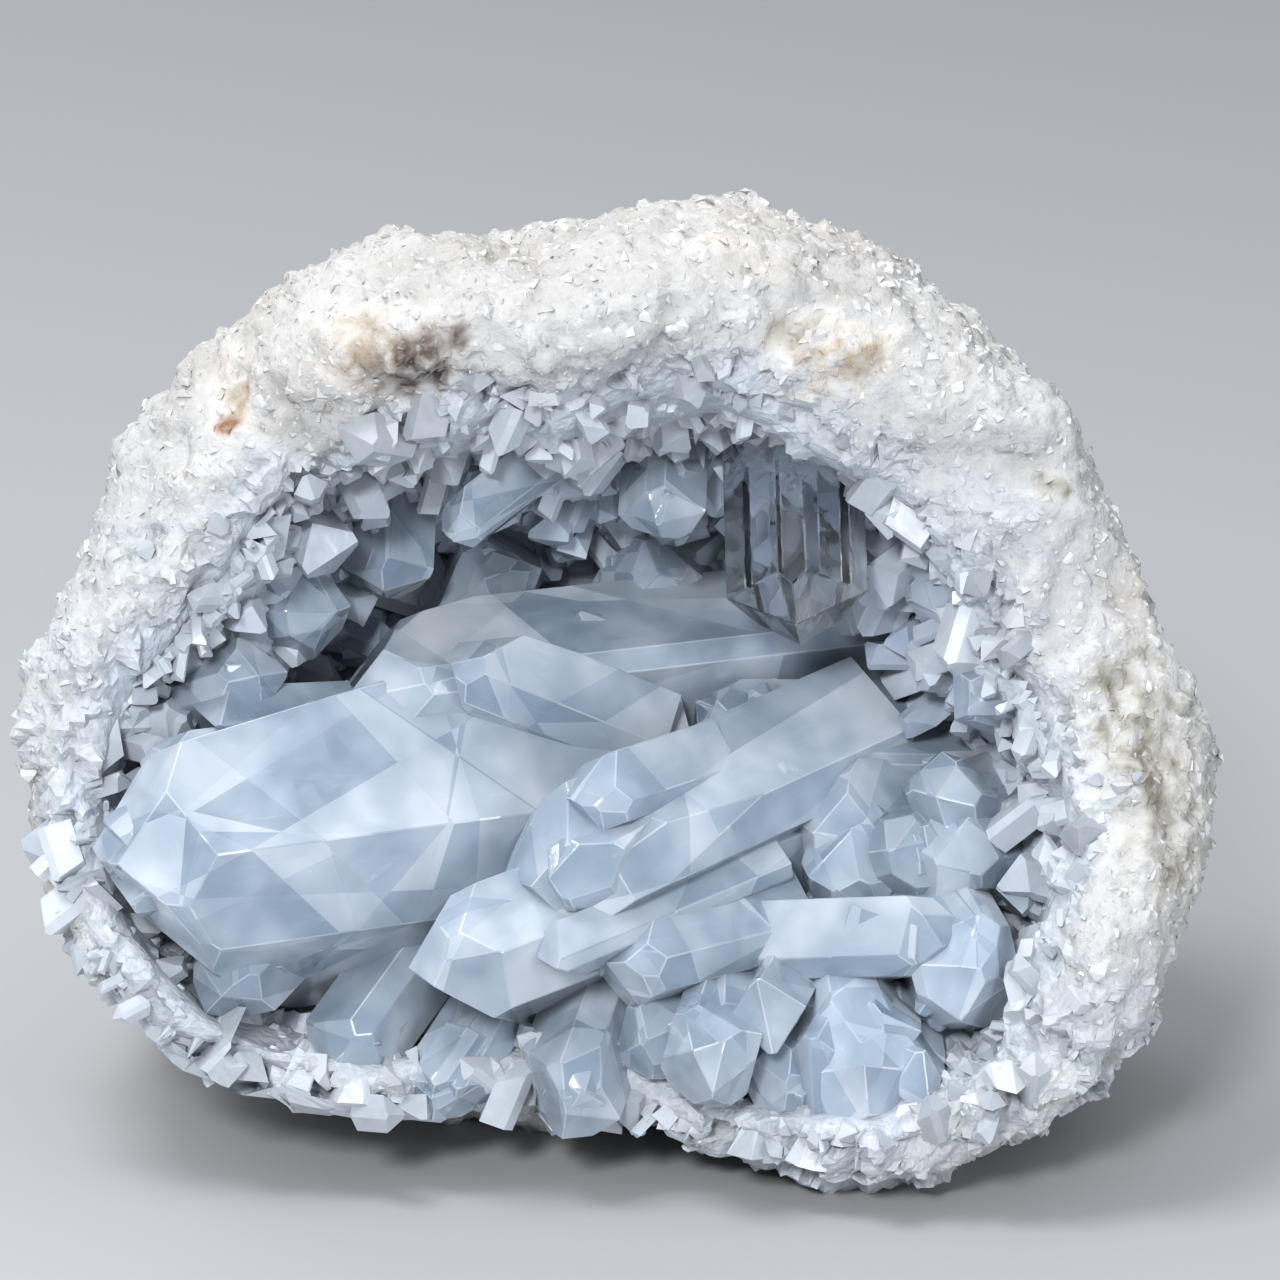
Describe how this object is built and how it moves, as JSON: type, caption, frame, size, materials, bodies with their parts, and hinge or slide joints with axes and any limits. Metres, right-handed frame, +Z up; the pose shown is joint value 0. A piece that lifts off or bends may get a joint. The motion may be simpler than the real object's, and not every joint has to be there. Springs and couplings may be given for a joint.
{
  "type": "celestite geode",
  "caption": "Broken celestite geode: a lumpy white rind whose hollow is lined with pale blue crystals, resting on a small flat spot.",
  "frame": {"origin": "on the ground under the middle of the specimen's box", "axes": "+Z up, +X to the right as the open hollow is looked at, -Y out of the hollow towards the viewer"},
  "size_m": [0.1048, 0.0722, 0.0829],
  "materials": {
    "rind": "rough, sugary, white with ochre stains",
    "crystal": "clear to milky, pale blue, glassy faces"
  },
  "bodies": {
    "root": {"rind": "rind", "crystal_crust": "crystal"}
  },
  "joints": []
}
